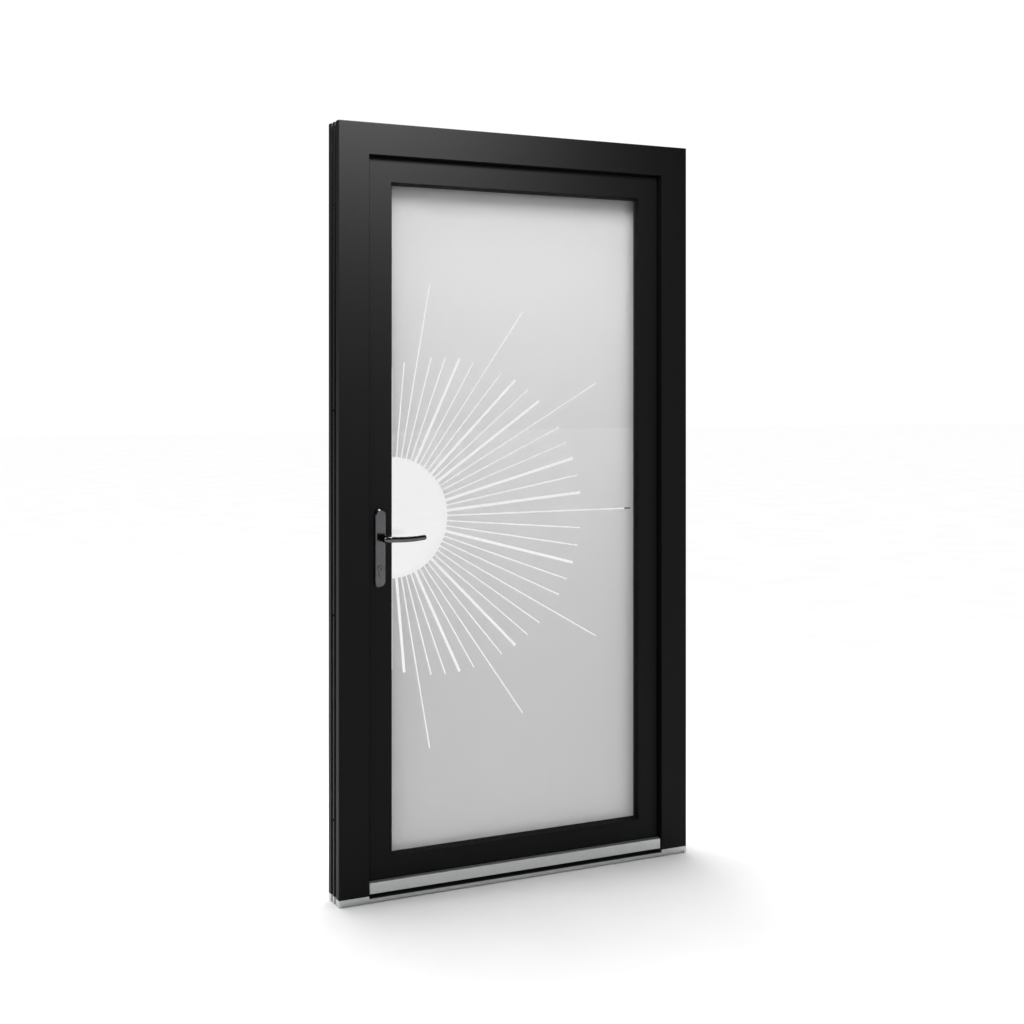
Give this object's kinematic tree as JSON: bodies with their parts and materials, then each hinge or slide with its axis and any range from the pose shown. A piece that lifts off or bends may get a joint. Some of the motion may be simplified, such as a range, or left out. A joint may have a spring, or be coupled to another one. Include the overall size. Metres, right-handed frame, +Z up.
{
  "type": "glass entrance door",
  "caption": "Single glazed entrance door in a matt black welded frame with an aluminium threshold and drip bar, opening inwards, with levers on both sides.",
  "frame": {"origin": "middle of the threshold's underside, half way through the frame's depth", "axes": "+X to the hinge side, +Y into the room, +Z up"},
  "size_m": [1.092, 0.221, 2.1],
  "materials": {
    "black_profile": "matt black grained foil",
    "galvanised_steel": "galvanised",
    "seal_rubber": "matt black",
    "brush_pile": "black pile",
    "black_plastic": "matt black",
    "aluminium": "satin anodised",
    "black_hardware": "satin black powder coat",
    "pane_glass": "frosted with a clear sunburst",
    "block_plastic": "moulded",
    "bright_steel": "satin",
    "polished_handle": "dark polished"
  },
  "bodies": {
    "frame": {"outer_frame": "black_profile", "frame_steel_left": "galvanised_steel", "frame_steel_right": "galvanised_steel", "frame_steel_head": "galvanised_steel", "frame_seal": "seal_rubber", "threshold_base": "aluminium", "threshold_core": "black_plastic", "threshold_cap": "aluminium", "end_block_left": "aluminium", "end_block_right": "aluminium", "centre_striker": "bright_steel", "upper_striker": "bright_steel", "lower_striker": "bright_steel", "striker_screws": "bright_steel", "hinge_frame_lower": "black_hardware", "hinge_frame_middle": "black_hardware", "hinge_frame_upper": "black_hardware", "hinge_pins": "bright_steel", "hinge_frame_screws": "black_hardware"},
    "leaf": {"leaf_frame": "black_profile", "leaf_steel_lock": "galvanised_steel", "leaf_steel_hinge": "galvanised_steel", "leaf_steel_top": "galvanised_steel", "leaf_steel_bottom": "galvanised_steel", "leaf_seal": "seal_rubber", "outer_pane": "pane_glass", "pane_spacer": "black_plastic", "inner_pane": "pane_glass", "setting_blocks": "block_plastic", "outer_glass_seal": "seal_rubber", "inner_glass_seal": "seal_rubber", "bead_lock_side": "black_profile", "bead_hinge_side": "black_profile", "bead_top": "black_profile", "bead_bottom": "black_profile", "drip_bar": "aluminium", "bottom_carrier": "black_plastic", "brush_seals": "brush_pile", "faceplate": "bright_steel", "faceplate_screws": "bright_steel", "lock_case": "galvanised_steel", "upper_lock_box": "galvanised_steel", "lower_lock_box": "galvanised_steel", "cylinder_body": "bright_steel", "outside_plate": "polished_handle", "inside_plate": "polished_handle", "plate_screws": "bright_steel", "hinge_leaf_lower": "black_hardware", "hinge_leaf_middle": "black_hardware", "hinge_leaf_upper": "black_hardware", "hinge_leaf_screws": "black_hardware"},
    "handle": {"outside_lever": "polished_handle", "inside_lever": "polished_handle", "spindle": "galvanised_steel", "lock_follower": "galvanised_steel"},
    "latch": {"latch_bolt": "bright_steel"},
    "outer_plug": {"cylinder_plug": "bright_steel"},
    "thumb_turn": {"thumb_turn": "bright_steel"},
    "deadbolt": {"deadbolt": "bright_steel"},
    "secondary_bolts": {"secondary_bolts": "bright_steel"}
  },
  "joints": [
    {"name": "leaf_hinge", "type": "hinge", "parent": "frame", "child": "leaf", "pos_m": [0.51, 0.067, 0.26], "axis": [0, 0, -1], "range_deg": [0, 100]},
    {"name": "lever_turn", "type": "hinge", "parent": "leaf", "child": "handle", "pos_m": [-0.4246, 0.02, 0.98], "axis": [0, 1, 0], "range_deg": [0, 40], "stiffness_Nm_per_rad": 1.2, "springref_deg": -34.38},
    {"name": "latch_slide", "type": "slide", "parent": "leaf", "child": "latch", "axis": [1, 0, 0], "range_m": [0, 0.014]},
    {"name": "thumb_turn_rotation", "type": "hinge", "parent": "leaf", "child": "thumb_turn", "pos_m": [-0.4246, 0.02, 0.899], "axis": [0, 1, 0], "range_deg": [0, 720]},
    {"name": "plug_turn", "type": "hinge", "parent": "leaf", "child": "outer_plug", "pos_m": [-0.4246, -0.011, 0.899], "axis": [0, 1, 0], "range_deg": [0, 720]},
    {"name": "deadbolt_slide", "type": "slide", "parent": "leaf", "child": "deadbolt", "axis": [-1, 0, 0], "range_m": [0, 0.02]},
    {"name": "secondary_bolt_slide", "type": "slide", "parent": "leaf", "child": "secondary_bolts", "axis": [-1, 0, 0], "range_m": [0, 0.02]}
  ],
  "couplings": [
    {"joint": "latch_slide", "follows": "lever_turn", "m_per_rad": 0.020051},
    {"joint": "thumb_turn_rotation", "follows": "deadbolt_slide", "rad_per_m": 628.26},
    {"joint": "plug_turn", "follows": "deadbolt_slide", "rad_per_m": 628.26},
    {"joint": "secondary_bolt_slide", "follows": "deadbolt_slide", "ratio": 1}
  ]
}
